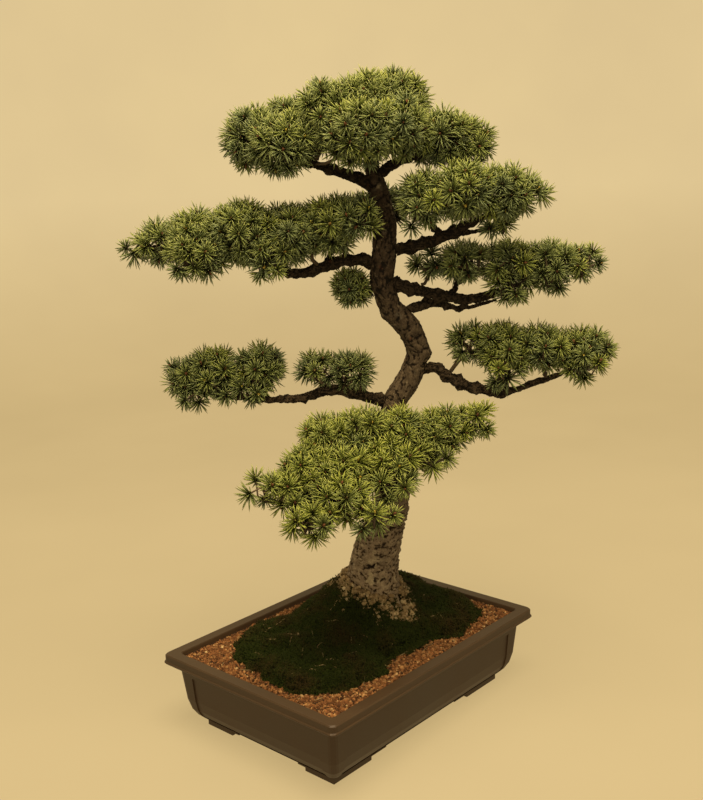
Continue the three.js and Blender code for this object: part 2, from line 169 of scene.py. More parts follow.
class Shader:
    """Short calls to build one node material."""

    def __init__(self, name):
        self.material = bpy.data.materials.new(name)
        self.material.use_nodes = True
        self.tree = self.material.node_tree
        self.surface = self.tree.nodes["Principled BSDF"]

    def node(self, kind, inputs=None, **settings):
        made = self.tree.nodes.new(kind)
        for key, value in settings.items():
            setattr(made, key, value)
        for key, value in (inputs or {}).items():
            self.put(made.inputs[key], value)
        return made

    def put(self, socket, value):
        if isinstance(value, bpy.types.NodeSocket):
            self.tree.links.new(value, socket)
        else:
            socket.default_value = value

    def ramp(self, factor, stops):
        """A colour from a number; stops are [(number, (r, g, b)), ...]."""
        made = self.node("ShaderNodeValToRGB", {"Fac": factor})
        elements = made.color_ramp.elements
        while len(elements) < len(stops):
            elements.new(0.5)
        for element, (place, colour) in zip(elements, stops):
            element.position = place
            element.color = (*colour, 1)
        return made.outputs["Color"]

    def mix(self, factor, a, b, blend="MIX"):
        made = self.node("ShaderNodeMix", data_type="RGBA", blend_type=blend)
        self.put(made.inputs[0], factor)
        self.put(made.inputs[6], a)
        self.put(made.inputs[7], b)
        return made.outputs[2]

    def noise(self, coordinates, scale, detail=4.0, roughness=0.55):
        return self.node(
            "ShaderNodeTexNoise",
            {"Vector": coordinates, "Scale": scale, "Detail": detail, "Roughness": roughness},
        ).outputs["Fac"]

    def bump(self, height, distance, strength=1.0):
        made = self.node("ShaderNodeBump", {"Height": height, "Distance": distance, "Strength": strength})
        self.put(self.surface.inputs["Normal"], made.outputs["Normal"])

    def attribute(self, name):
        return self.node("ShaderNodeAttribute", attribute_name=name).outputs["Fac"]

    def object_coordinates(self):
        return self.node("ShaderNodeTexCoord").outputs["Object"]

    def uv(self):
        """(u, v) of the OFBake map."""
        place = self.node("ShaderNodeUVMap", uv_map="OFBake").outputs["UV"]
        split = self.node("ShaderNodeSeparateXYZ", {"Vector": place})
        return split.outputs["X"], split.outputs["Y"]

    def done(self, colour, roughness, specular=0.5):
        self.put(self.surface.inputs["Base Color"], colour)
        self.put(self.surface.inputs["Roughness"], roughness)
        self.put(self.surface.inputs["Specular IOR Level"], specular)
        return self.material


def needle_material():
    """u runs from a needle's foot to its tip, and the foot is painted dark as shade inside the tuft; v is 0
    if it is old and blue-green, 1 if fresh and yellow.
    """
    shader = Shader("needles")
    along, tone = shader.uv()
    # painted shade: each needle is darkest at its foot, inside the tuft, and lightest at its tip
    old = shader.ramp(along, [
        (0.0, (0.030, 0.030, 0.012)), (0.25, (0.088, 0.112, 0.044)),
        (0.7, (0.175, 0.225, 0.094)), (1.0, (0.330, 0.375, 0.165)),
    ])
    fresh = shader.ramp(along, [
        (0.0, (0.080, 0.080, 0.014)), (0.25, (0.190, 0.230, 0.036)),
        (0.7, (0.350, 0.410, 0.064)), (1.0, (0.640, 0.650, 0.130)),
    ])
    return shader.done(shader.mix(tone, old, fresh), 0.5, 0.45)


def twig_material():
    """u is the shade of brown; v below a half is bark, above it a bud."""
    shader = Shader("twigs")
    shade, kind = shader.uv()
    bark = shader.ramp(shade, [
        (0.0, (0.030, 0.020, 0.012)), (0.6, (0.090, 0.060, 0.034)), (1.0, (0.17, 0.12, 0.07)),
    ])
    bud = shader.ramp(shade, [
        (0.0, (0.09, 0.036, 0.015)), (0.8, (0.20, 0.080, 0.030)), (1.0, (0.50, 0.40, 0.05)),
    ])
    step = shader.node("ShaderNodeMath", operation="GREATER_THAN")
    shader.put(step.inputs[0], kind)
    step.inputs[1].default_value = 0.5
    return shader.done(shader.mix(step.outputs[0], bark, bud), 0.8, 0.3)


def bark_material():
    """Attributes: one runs from 0 in a fissure to 1 on a plate and paints shade into the fissures; one is 1
    in light old bark and carries painted light low on the trunk and painted shade higher up, besides old
    and young bark's own colours; pale is 1 in crust.
    """
    shader = Shader("bark")
    place = shader.object_coordinates()
    fissure_shade, age_and_light, pale = (shader.attribute(name) for name in ("fissure_shade", "age_and_light", "pale"))
    plates = shader.noise(place, 140, 6, 0.7)
    fine = shader.noise(place, 700, 4, 0.7)
    # the dark ramp below holds painted shade and the light one painted light, besides young and old bark's
    # own colours
    young = shader.ramp(plates, [
        (0.30, (0.019, 0.012, 0.007)), (0.50, (0.052, 0.033, 0.019)), (0.72, (0.120, 0.080, 0.047)),
    ])
    old = shader.ramp(plates, [
        (0.30, (0.220, 0.155, 0.094)), (0.50, (0.430, 0.320, 0.195)), (0.70, (0.680, 0.530, 0.330)),
    ])
    colour = shader.mix(age_and_light, young, old)
    lichen = shader.ramp(shader.noise(place, 75, 5, 0.65), [(0.56, grey(0)), (0.68, grey(0.55))])
    colour = shader.mix(lichen, colour, (0.200, 0.165, 0.115, 1))
    rust = shader.ramp(shader.noise(place, 48, 3), [(0.68, grey(0)), (0.74, grey(0.8))])
    colour = shader.mix(rust, colour, (0.240, 0.085, 0.038, 1))
    colour = shader.mix(pale, colour, (0.700, 0.570, 0.340, 1))
    grain = shader.ramp(fine, [(0.25, grey(0.50)), (0.7, grey(1.0))])
    colour = shader.mix(1.0, colour, grain, "MULTIPLY")
    # painted shade: the bark is darkened in its fissures, in the crevice under the ledge and in the level
    # cracks
    depth = shader.ramp(fissure_shade, [
        (0.0, (0.05, 0.04, 0.03)), (0.35, (0.30, 0.27, 0.24)), (0.8, grey(1.0)),
    ])
    colour = shader.mix(1.0, colour, depth, "MULTIPLY")
    shader.bump(fine, 0.0008, 0.8)
    return shader.done(colour, 0.9, 0.2)


def clay_material():
    """Unglazed grey-brown clay with a faint speckle."""
    shader = Shader("clay")
    place = shader.object_coordinates()
    broad = shader.noise(place, 9, 4)
    fine = shader.noise(place, 900, 3, 0.6)
    colour = shader.ramp(broad, [(0.3, (0.054, 0.030, 0.013)), (0.7, (0.073, 0.041, 0.018))])
    speck = shader.ramp(fine, [(0.3, grey(0.86)), (0.75, (1.1, 1.08, 1.05))])
    colour = shader.mix(1.0, colour, speck, "MULTIPLY")
    roughness = shader.ramp(broad, [(0.3, grey(0.42)), (0.7, grey(0.54))])
    shader.bump(fine, 0.00012, 0.6)
    return shader.done(colour, roughness, 0.38)


def granule_material():
    """u and v are random for each granule: u its colour, v its lightness."""
    shader = Shader("granules")
    hue, light = shader.uv()
    colour = shader.ramp(hue, [
        (0.0, (0.050, 0.024, 0.010)), (0.25, (0.180, 0.070, 0.023)), (0.55, (0.350, 0.148, 0.048)),
        (0.8, (0.530, 0.285, 0.105)), (1.0, (0.740, 0.510, 0.240)),
    ])
    shade = shader.ramp(light, [(0.0, grey(0.6)), (1.0, grey(1.15))])
    return shader.done(shader.mix(1.0, colour, shade, "MULTIPLY"), 0.85, 0.3)


def crumb_material():
    """The same uv as the granules'."""
    shader = Shader("crumbs")
    hue, light = shader.uv()
    colour = shader.ramp(hue, [
        (0.0, (0.090, 0.055, 0.024)), (0.4, (0.290, 0.195, 0.090)), (0.8, (0.500, 0.360, 0.180)),
        (1.0, (0.700, 0.550, 0.310)),
    ])
    shade = shader.ramp(light, [(0.0, grey(0.6)), (1.0, grey(1.0))])
    return shader.done(shader.mix(1.0, colour, shade, "MULTIPLY"), 0.9, 0.2)


def ground_material(name, dark, light, scale):
    shader = Shader(name)
    place = shader.object_coordinates()
    grain = shader.noise(place, scale, 6, 0.7)
    shader.bump(grain, 0.002, 1.0)
    return shader.done(shader.ramp(grain, [(0.35, dark), (0.65, light)]), 0.95, 0.2)


def moss_material():
    shader = Shader("moss")
    place = shader.object_coordinates()
    patches = shader.noise(place, 26, 5, 0.6)
    fine = shader.noise(place, 420, 6, 0.75)
    green = shader.ramp(fine, [
        (0.3, (0.003, 0.004, 0.001)), (0.55, (0.010, 0.015, 0.003)), (0.8, (0.026, 0.034, 0.007)),
    ])
    brown = shader.ramp(fine, [
        (0.3, (0.005, 0.003, 0.002)), (0.55, (0.016, 0.012, 0.005)), (0.8, (0.036, 0.026, 0.011)),
    ])
    colour = shader.mix(shader.ramp(patches, [(0.50, grey(0)), (0.66, grey(1))]), green, brown)
    shader.bump(fine, 0.0015, 1.0)
    return shader.done(colour, 0.95, 0.12)


def moss_stem_material():
    """u runs from a stem's foot to its tip, v is its tone from dark green to dry brown."""
    shader = Shader("moss_stems")
    along, tone = shader.uv()
    green = shader.ramp(along, [
        (0.0, (0.003, 0.004, 0.001)), (0.75, (0.024, 0.038, 0.006)), (1.0, (0.052, 0.070, 0.010)),
    ])
    dry = shader.ramp(along, [
        (0.0, (0.006, 0.004, 0.002)), (0.8, (0.046, 0.033, 0.010)), (1.0, (0.100, 0.070, 0.024)),
    ])
    return shader.done(shader.mix(tone, green, dry), 0.85, 0.12)


def strand_material():
    """v is the strand's tone, from brown to straw."""
    shader = Shader("dry_strands")
    _, tone = shader.uv()
    straw = shader.ramp(tone, [(0.0, (0.130, 0.085, 0.035)), (1.0, (0.420, 0.310, 0.150))])
    return shader.done(straw, 0.8, 0.2)


def plastic_material():
    shader = Shader("plastic_mesh")
    wear = shader.noise(shader.object_coordinates(), 300, 3)
    colour = shader.ramp(wear, [(0.3, (0.010, 0.010, 0.009)), (0.8, (0.028, 0.027, 0.025))])
    return shader.done(colour, 0.6, 0.4)


def floor_material():
    """Pale cream, partly glowing, more so up the wall so that it is as light as the floor."""
    shader = Shader("floor")
    place = shader.object_coordinates()
    haze = shader.noise(place, 1.5, 3)
    low = shader.ramp(haze, [(0.3, (0.500, 0.365, 0.165)), (0.7, (0.540, 0.395, 0.180))])
    high = shader.ramp(haze, [(0.3, (0.640, 0.490, 0.255)), (0.7, (0.690, 0.530, 0.270))])
    height = shader.node("ShaderNodeSeparateXYZ", {"Vector": place}).outputs["Z"]
    rise = shader.ramp(height, [(0.0, grey(0)), (0.6, grey(1))])
    shader.put(shader.surface.inputs["Emission Color"], shader.mix(rise, low, high))
    shader.surface.inputs["Emission Strength"].default_value = 1.0
    return shader.done((0.17, 0.155, 0.12, 1), 0.9, 0.0)


NEEDLES = needle_material()
TWIGS = twig_material()
BARK = bark_material()
CLAY = clay_material()
GRANULES = granule_material()
MOSS = moss_material()
MOSS_STEMS = moss_stem_material()
CRUMBS = crumb_material()
STRANDS = strand_material()
SOIL = ground_material("soil", (0.020, 0.013, 0.008), (0.060, 0.036, 0.020), 300)
# painted shade: the bed under the granules is dark so that the gaps between them look shaded
SHADED_GRAVEL_BED = ground_material("shaded_gravel_bed", (0.020, 0.012, 0.007), (0.075, 0.038, 0.018), 400)
PLASTIC = plastic_material()

# ------------------------------------------------------------------ wood

TRUNK_VOXEL = 1.2 * MM
TRUNK_ROUNDS = 10  # of smoothing, before the bark's relief
TRUNK_GRAIN = 8 * MM
BRANCH_VOXEL = 0.9 * MM
BRANCH_ROUNDS = 4
BRANCH_GRAIN = 5 * MM
KNOB_SPACING = 15 * MM
FISSURE_SHARE = 8  # per cent of the bark is at the bottom of a fissure
GROOVE_SHARE = 55  # per cent of the bark is lower than the plates


def remeshed(node, voxel):
    """An even mesh of small quads over a node's solid."""
    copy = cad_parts[node].data.copy()
    holder = linked_object("remesh", copy)
    weld = holder.modifiers.new("weld", "WELD")
    weld.merge_threshold = 1e-6
    remesh = holder.modifiers.new("remesh", "REMESH")
    remesh.mode = "VOXEL"
    remesh.voxel_size = voxel
    graph = bpy.context.evaluated_depsgraph_get()
    mesh = bpy.data.meshes.new_from_object(holder.evaluated_get(graph))
    bpy.data.objects.remove(holder)
    bpy.data.meshes.remove(copy)
    return mesh


def mesh_numbers(mesh):
    """(vertices, edges) of a mesh as arrays."""
    vertices = np.empty(len(mesh.vertices) * 3, dtype=np.float32)
    mesh.vertices.foreach_get("co", vertices)
    edges = np.empty(len(mesh.edges) * 2, dtype=np.int32)
    mesh.edges.foreach_get("vertices", edges)
    return vertices.reshape(-1, 3).astype(float), edges.reshape(-1, 2)


def normals_of(mesh):
    normals = np.empty(len(mesh.vertices) * 3, dtype=np.float32)
    mesh.vertices.foreach_get("normal", normals)
    return normals.reshape(-1, 3).astype(float)


def put_vertices(mesh, vertices):
    """Moves a mesh's vertices, and works out its normals again."""
    mesh.vertices.foreach_set("co", vertices.astype(np.float32).ravel())
    mesh.update()


def finished(name, mesh, material):
    """The object that shows a refined mesh in its own material."""
    mesh.materials.clear()
    mesh.materials.append(material)
    mesh.shade_smooth()
    return linked_object(name, mesh)


def relax(vertices, edges, rounds):
    """Taubin smoothing: rounds off facets without shrinking thin limbs."""
    count = np.maximum(np.bincount(edges.ravel(), minlength=len(vertices)), 1)[:, None]
    for _ in range(rounds):
        for weight in (0.55, -0.57):
            total = np.zeros_like(vertices)
            for axis in range(3):
                total[:, axis] = (
                    np.bincount(edges[:, 0], vertices[edges[:, 1], axis], len(vertices))
                    + np.bincount(edges[:, 1], vertices[edges[:, 0], axis], len(vertices))
                )
            vertices = vertices + weight * (total / count - vertices)
    return vertices


def stretched(place, across, along):
    """A point scaled so that a pattern is longer up and down than across."""
    return Vector((place[0] / across, place[1] / across, place[2] / along))


def ridges(place):
    return noise.ridged_multi_fractal(place, 0.9, 2.2, 3, 1.0, 2.0)


def bark_relief(vertices, grain, wrinkled, knobs):
    """(relief from about -1 to 1, and a value from 0 in a fissure to 1 on a plate, which sets the painted
    shade in the fissures) for each vertex.

    grain is the width of the bark's ridges, wrinkled the share of level wrinkles, and knobs the strength of
    rounded swellings, the last two for each vertex."""
    relief = np.empty(len(vertices))
    values = np.empty(len(vertices))
    for i, place in enumerate(vertices):
        p = Vector(place)
        drift = noise.noise_vector(p / (grain * 4)) * 0.9
        upright = ridges(stretched(p, grain, grain * 1.9) + drift)
        level = ridges(stretched(p, grain * 1.9, grain * 0.7) + drift)
        rough = noise.fractal(p / (grain * 0.4), 0.8, 2.1, 3)
        ridge = 1.0 - (1 - wrinkled[i]) * upright - wrinkled[i] * level
        broad = noise.noise(p / (grain * 3.2))
        (nearest, *_), _ = noise.voronoi(p / KNOB_SPACING)
        knob = max(0.0, 1 - nearest * 1.7) ** 1.5
        value = 0.62 * ridge + 0.34 * rough
        relief[i] = value + 0.5 * broad + knobs[i] * knob
        values[i] = value
    deep, plate = np.percentile(values, (FISSURE_SHARE, GROOVE_SHARE))
    return relief, np.clip((values - deep) / (plate - deep), 0, 1)


def set_values(mesh, name, values):
    """Stores one number from 0 to 1 for each vertex, which the bark's material reads."""
    layer = mesh.attributes.new(name, "FLOAT", "POINT")
    layer.data.foreach_set("value", np.clip(values, 0, 1).astype(np.float32))


def make_wood(node, voxel, rounds, grain, shape):
    """Refines a wood node; shape(vertices) gives a dictionary of values for each vertex:
    depth, wrinkled and knobs for the relief, age and pale for the colour, and step, a push outwards."""
    mesh = remeshed(node, voxel)
    vertices, edges = mesh_numbers(mesh)
    vertices = relax(vertices, edges, rounds)
    put_vertices(mesh, vertices)
    look = shape(vertices)
    relief, fissure_shade = bark_relief(vertices, grain, look["wrinkled"], look["knobs"])
    push = relief * look["depth"] + look["step"]
    vertices = vertices + normals_of(mesh) * push[:, None]
    mesh.vertices.foreach_set("co", vertices.astype(np.float32).ravel())
    # painted shade: the crevice and the level cracks join the fissures' darkening
    set_values(mesh, "fissure_shade", fissure_shade + np.minimum(0, look["step"]) / (2 * MM) + look["pale"])
    set_values(mesh, "age_and_light", look["age_and_light"])
    set_values(mesh, "pale", look["pale"])
    piece = finished(f"wood_{node}", mesh, BARK)
    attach(piece, "root")
    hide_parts(node)


BEST_SIDE = np.array([-0.743, -0.669])  # the way the tree's best side looks, from above
BAND_HEIGHT = 203 * MM  # of the pale ledge low on the best side, with a crevice under it
BAND_TURN = 0.30  # radians from the best side to the ledge's middle
CREVICE_DROP = 6.5 * MM
CREVICE_DEPTH = 4.2 * MM
LEDGE_DEPTH = 1.8 * MM
CRUST_HEIGHT = 184 * MM
RING_HEIGHTS = (449 * MM, 258 * MM, 246 * MM, 233 * MM)  # level cracks around the trunk
RING_DEPTH = 2.2 * MM
BARK_DEPTH_LOW = 4.0  # millimetres of relief low on the trunk
BARK_DEPTH_LOSS = 2.2  # millimetres less of it higher up
BRANCH_DEPTH = 2.0 * MM
BRANCH_SLIMMING = 1.0 * MM  # a branch is drawn in by this, since its relief makes it thicker


def bump_at(values, middle, width):
    """A soft hump that is 1 at the middle."""
    return np.exp(-(((values - middle) / width) ** 2))


def trunk_shape(vertices):
    """Old bark low on the trunk is deep, wrinkled across and light, partly its own colour and partly
    painted light; near the top it is shallow and dark, partly darker bark and partly painted shade.
    """
    low, high = (corner.z for corner in map(Vector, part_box("trunk")))
    share = (vertices[:, 2] - low) / (high - low)
    foot = trunk_foot()
    from_foot = vertices[:, :2] - foot
    across = np.array([-BEST_SIDE[1], BEST_SIDE[0]])
    turn = np.arctan2(from_foot @ across, from_foot @ BEST_SIDE)
    wave = np.array([noise.noise(Vector((t * 1.6, 0.0, 4.0))) for t in turn])
    height = vertices[:, 2] - 5 * MM * wave
    front = bump_at(turn, BAND_TURN, 0.95)
    band = front * bump_at(height, BAND_HEIGHT, 4.5 * MM)
    crevice = front * bump_at(height, BAND_HEIGHT - CREVICE_DROP, 1.8 * MM)
    patchy = np.array([noise.fractal(Vector(p) / (9 * MM), 0.9, 2.0, 3) for p in vertices])
    near_crust = bump_at(turn, 0.1, 0.7) * bump_at(height, CRUST_HEIGHT, 12 * MM)
    crust = smoothstep(0.0, 0.3, patchy + near_crust - 0.5)
    low_down = 1 - smoothstep(0.16, 0.26, share)
    step = LEDGE_DEPTH * band - CREVICE_DEPTH * crevice
    for ring in RING_HEIGHTS:
        step = step - RING_DEPTH * bump_at(height, ring, 1.5 * MM) * smoothstep(-0.3, 0.3, patchy + 0.1)
    return {
        "depth": (BARK_DEPTH_LOW - BARK_DEPTH_LOSS * smoothstep(0.20, 0.50, share)) * MM,
        "wrinkled": 0.75 * (1 - smoothstep(0.18, 0.36, share)),
        "knobs": np.full(len(vertices), 0.3),
        # painted light low on the trunk and painted shade higher up, with the bark's own change from old to
        # young
        "age_and_light": 0.98 - 0.70 * smoothstep(0.12, 0.44, share) - 0.26 * smoothstep(0.5, 0.72, share),
        "pale": np.clip(0.55 * band + 0.6 * crust * low_down + 0.3 * crust, 0, 0.8),
        "step": step,
    }


def branch_shape(vertices):
    """Knobbly young bark, darker in the branches high up, partly darker bark and partly painted shade."""
    count = len(vertices)
    high_up = smoothstep(0.40, 0.62, vertices[:, 2])
    return {
        "depth": np.full(count, BRANCH_DEPTH),
        "wrinkled": np.full(count, 0.5),
        "knobs": np.full(count, 2.6),
        # painted shade in the branches high up, with darker bark
        "age_and_light": 0.26 - 0.24 * high_up,
        "pale": np.zeros(count),
        "step": np.full(count, -BRANCH_SLIMMING),
    }


def trunk_foot():
    """The middle of the trunk where it stands in the soil, from above."""
    vertices = node_arrays("trunk")[0]
    return vertices[vertices[:, 2] < vertices[:, 2].min() + 1 * MM][:, :2].mean(axis=0)


make_wood("trunk", TRUNK_VOXEL, TRUNK_ROUNDS, TRUNK_GRAIN, trunk_shape)
for branch in sorted(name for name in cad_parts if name.startswith("branch_")):
    make_wood(branch, BRANCH_VOXEL, BRANCH_ROUNDS, BRANCH_GRAIN, branch_shape)

# ------------------------------------------------------------------ foliage

NEEDLE_LENGTH = 23 * MM
NEEDLE_RADIUS = 0.80 * MM
NEEDLES_PER_TUFT = 42
TUFT_SPACING = 16.8 * MM
INNER_SPACING = 11.8 * MM
SMALL_PAD = 200e-6  # cubic metres of box; the tufts stand closer and shallower in a smaller pad
SMALL_CLOSENESS = 0.55
SMALL_SHALLOWNESS = 0.35
SHELL = (8 * MM, 16.5 * MM)  # how deep under the pads' outer surface the outer tufts stand
BEST_DEPTH = 12 * MM  # where the places for tufts are taken first
DEPTH_STEP = 3 * MM
NEEDLE_OVERHANG = 6.5 * MM  # how far the needles reach out of the pad
CONTACT = 1.2 * MM  # faces closer than this to another solid aren't in open air
WIDEST_AT = 0.7  # of a needle's length
FOOT_WIDTH = 0.75  # of a needle's greatest width
TWIG_REACH = 0.03  # how far outside a pad's box its twigs may start on the wood
TWIG_RADIUS = 0.00075  # of a twig with one tuft; it grows with the root of the number of tufts
THICKEST_TWIG = 0.0034
BUD_RADII = (1.1, 2.0)  # millimetres
GOLDEN = math.pi * (3 - math.sqrt(5))

# The wood that each foliage pad grows on, and how fresh its needles are.
PADS = {
    "foliage_left_upper": (["branch_left_upper"], 0.30),
    "foliage_right_upper": (["branch_right_upper"], 0.35),
    "foliage_right_middle": (["branch_right_middle", "branch_right_middle_stub"], 0.22),
    "foliage_right_lower": (["branch_right_lower"], 0.38),
    "foliage_left_lower_tip": (["branch_left_lower"], 0.28),
    "foliage_left_lower_inner": (["branch_left_lower"], 0.22),
    "foliage_front": (["branch_front"], 0.62),
    "foliage_rear_upper": (["branch_rear_upper"], 0.30),
    "foliage_rear_lower": (["branch_rear_lower"], 0.40),
    "foliage_crown_left": (["branch_crown_left"], 0.25),
    "foliage_crown_top": (["trunk", "branch_crown_left", "branch_crown_right"], 0.35),
    "foliage_crown_right": (["branch_crown_right"], 0.30),
    "foliage_trunk_tuft": (["branch_trunk_tuft"], 0.30),
}


def is_inside(tree, place):
    """Whether a point lies inside a closed mesh."""
    crossings, start = 0, Vector(place)
    while True:
        hit = tree.ray_cast(start, Vector((0, 0, 1)))[0]
        if hit is None:
            return crossings % 2 == 1
        crossings += 1
        start = hit + Vector((0, 0, 1e-5))


def outer_surface():
    """The open air side of all the foliage, without the faces that lie against wood or another pad."""
    solids = [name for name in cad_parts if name.startswith(("foliage_", "branch_")) or name == "trunk"]
    trees = {name: tree_of(name) for name in solids}
    kept = []
    for name in PADS:
        vertices, triangles = node_arrays(name)
        corners = vertices[triangles]
        near = []
        for middle in corners.mean(axis=1):
            touching = any(
                trees[other].find_nearest(Vector(middle), CONTACT)[0] is not None
                for other in solids if other != name)
            near.append(touching)
        kept.append(corners[~np.array(near)])
    corners = np.concatenate(kept)
    return search_tree(corners.reshape(-1, 3), np.arange(len(corners) * 3).reshape(-1, 3))


def tuft_places(node, outside, taken, rng):
    """Where tufts stand inside a pad: (places, ways out, depths), in an outer shell and in the middle.

    taken holds the places used so far, in this pad and in the ones before it."""
    tree = tree_of(node)
    low, high = (np.array(corner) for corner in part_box(node))
    small = np.prod(high - low) < SMALL_PAD
    shallowest = SHELL[0] * (SMALL_SHALLOWNESS if small else 1.0)
    closeness = SMALL_CLOSENESS if small else 1.0
    count = int(np.prod(high - low) / INNER_SPACING ** 3 * 10 / closeness ** 3) + 60
    found = []
    for place in rng.uniform(low, high, (count, 3)):
        if not is_inside(tree, place):
            continue
        way = np.array(outside.find_nearest(Vector(place))[0]) - place
        depth = np.linalg.norm(way)
        if depth > shallowest:
            found.append((place, way / depth, depth))
    found.sort(key=lambda item: abs(item[2] - BEST_DEPTH) // DEPTH_STEP)
    kept = []
    for place, way, depth in found:
        spacing = closeness * (TUFT_SPACING if depth < SHELL[1] else INNER_SPACING)
        if not taken or np.min(np.sum((np.array(taken) - place) ** 2, axis=1)) > spacing ** 2:
            taken.append(place)
            kept.append((place, way, depth))
    return tuple(np.array([item[i] for item in kept]) for i in range(3))


def needle_arrays(feet, directions, lift, lengths, tones):
    """Vertices, triangles and uv of three-sided needles, closed at the foot and pointed at the tip.

    lift is the way in which each needle curves a little."""
    count = len(feet)
    helper = np.where(np.abs(directions[:, 2:3]) < 0.9, UP, np.array([1.0, 0, 0]))
    across = unit(np.cross(directions, helper))
    over = np.cross(directions, across)
    tip = feet + directions * lengths[:, None] + lift * (0.05 * lengths)[:, None]
    middle = feet + directions * (WIDEST_AT * lengths)[:, None] + lift * (0.025 * lengths)[:, None]
    vertices = np.empty((count, 7, 3))
    uv = np.empty((count, 7, 2))
    for side in range(3):
        angle = 2 * math.pi * side / 3
        out = across * math.cos(angle) + over * math.sin(angle)
        vertices[:, side] = feet + out * (FOOT_WIDTH * NEEDLE_RADIUS)
        vertices[:, 3 + side] = middle + out * NEEDLE_RADIUS
    vertices[:, 6] = tip
    uv[:, :3, 0], uv[:, 3:6, 0], uv[:, 6, 0] = 0.02, 0.72, 0.98
    uv[:, :, 1] = tones[:, None]
    pattern = np.array([
        [0, 1, 4], [0, 4, 3], [1, 2, 5], [1, 5, 4], [2, 0, 3], [2, 3, 5],
        [3, 4, 6], [4, 5, 6], [5, 3, 6], [0, 2, 1],
    ])
    faces = (pattern[None] + 7 * np.arange(count)[:, None, None]).reshape(-1, 3)
    return vertices.reshape(-1, 3), faces, uv.reshape(-1, 2)


def tufts(bases, axes, sizes, freshness, rng):
    """Needle arrays of round tufts, one at each base, opening along its axis."""
    count = len(bases)
    k = np.arange(NEEDLES_PER_TUFT)
    share = (k + 0.5) / NEEDLES_PER_TUFT
    helper = np.where(np.abs(axes[:, 2:3]) < 0.9, UP, np.array([1.0, 0, 0]))
    first = unit(np.cross(axes, helper))
    second = np.cross(axes, first)
    first_turn = rng.uniform(0, 2 * math.pi, (count, 1))
    turn = GOLDEN * k[None] + first_turn + rng.normal(0, 0.16, (count, len(k)))
    lean = np.radians(16 + 88 * share ** 0.55)[None] + rng.normal(0, 0.10, (count, len(k)))
    around = first[:, None] * np.cos(turn)[..., None] + second[:, None] * np.sin(turn)[..., None]
    directions = unit(axes[:, None] * np.cos(lean)[..., None] + around * np.sin(lean)[..., None])
    feet = bases[:, None] + axes[:, None] * (0.0045 * (1 - share))[None, :, None] + around * 0.0006
    lengths = sizes[:, None] * rng.uniform(0.84, 1.06, (count, len(k))) * (0.82 + 0.18 * np.sin(lean))
    tones = np.clip(freshness[:, None] + rng.normal(0, 0.08, (count, len(k))), 0.02, 0.98)
    lift = np.broadcast_to(axes[:, None], directions.shape)
    rows = [array.reshape(-1, 3) for array in (feet, directions, lift)]
    return needle_arrays(*rows, lengths.ravel(), tones.ravel())


def stick(points, radii, sides=5):
    """Vertices and triangles of a closed tapering stick along a few points."""
    points, radii = np.asarray(points), np.asarray(radii)
    along = unit(np.gradient(points, axis=0))
    helper = UP if abs(along[0][2]) < 0.9 else np.array([1.0, 0, 0])
    across = unit(np.cross(along, helper))
    over = np.cross(along, across)
    turns = 2 * math.pi * np.arange(sides) / sides
    cosines, sines = np.cos(turns)[None, :, None], np.sin(turns)[None, :, None]
    ring = across[:, None] * cosines + over[:, None] * sines
    vertices = (points[:, None] + ring * radii[:, None, None]).reshape(-1, 3)
    faces = []
    for row in range(len(points) - 1):
        for side in range(sides):
            a, b = row * sides + side, row * sides + (side + 1) % sides
            faces += [[a, b, b + sides], [a, b + sides, a + sides]]
    last = (len(points) - 1) * sides
    for side in range(1, sides - 1):
        faces += [[0, side + 1, side], [last, last + side, last + side + 1]]
    return vertices, np.array(faces)


def bud(base, axis, radius):
    """A small pointed bud."""
    return stick(
        [base, base + axis * radius * 1.2, base + axis * radius * 2.6, base + axis * radius * 3.4],
        [radius * 0.6, radius, radius * 0.75, radius * 0.15],
    )


def grow_twigs(bases, axes, anchors, rng):
    """Sticks that join each tuft to the wood, sharing stems on the way, thicker where they carry more.

    The places are the anchors first, then four for each tuft; each knows the one it grows from."""
    knees = bases - axes * rng.uniform(0.010, 0.017, (len(bases), 1)) - UP * 0.003
    order = np.argsort([np.min(np.sum((anchors - knee) ** 2, axis=1)) for knee in knees])
    places = list(anchors)
    travelled = [0.0] * len(anchors)
    parent = [-1] * len(anchors)
    links = []
    for i in order:
        there = np.array(places)
        reach = np.linalg.norm(there - knees[i], axis=1)
        best = int(np.argmin(reach + 0.45 * np.array(travelled)))
        start = there[best]
        step = knees[i] - start
        bend = rng.normal(0, 0.06, 3) * np.linalg.norm(step)
        bend[2] -= 0.10 * np.linalg.norm(step)
        first, second = start + step * 0.35 + bend, start + step * 0.7 + bend * 0.7
        chain = [best]
        for place in (first, second, knees[i], bases[i]):
            places.append(place)
            travelled.append(travelled[chain[-1]] + np.linalg.norm(place - places[chain[-1]]))
            parent.append(chain[-1])
            chain.append(len(places) - 1)
        links.append(chain)
    load = np.zeros(len(places))
    for chain in links:
        at = chain[-1]
        while at >= 0:
            load[at] += 1
            at = parent[at]
    radius = np.minimum(TWIG_RADIUS * np.sqrt(np.maximum(load, 1)) + 0.0003, THICKEST_TWIG)
    parts = []
    for chain in links:
        radii = radius[chain]
        radii[0] = radii[1]
        parts.append(stick([places[j] for j in chain], radii))
    return parts


def joined(parts, uv_of):
    """One set of arrays from many (vertices, faces) parts; uv_of(i) gives part i its single uv."""
    vertices, faces, uv, start = [], [], [], 0
    for i, (part_vertices, part_faces) in enumerate(parts):
        vertices.append(part_vertices)
        faces.append(part_faces + start)
        uv.append(np.broadcast_to(uv_of(i), (len(part_vertices), 2)))
        start += len(part_vertices)
    return np.concatenate(vertices), np.concatenate(faces), np.concatenate(uv)


outside = outer_surface()
taken_places = []


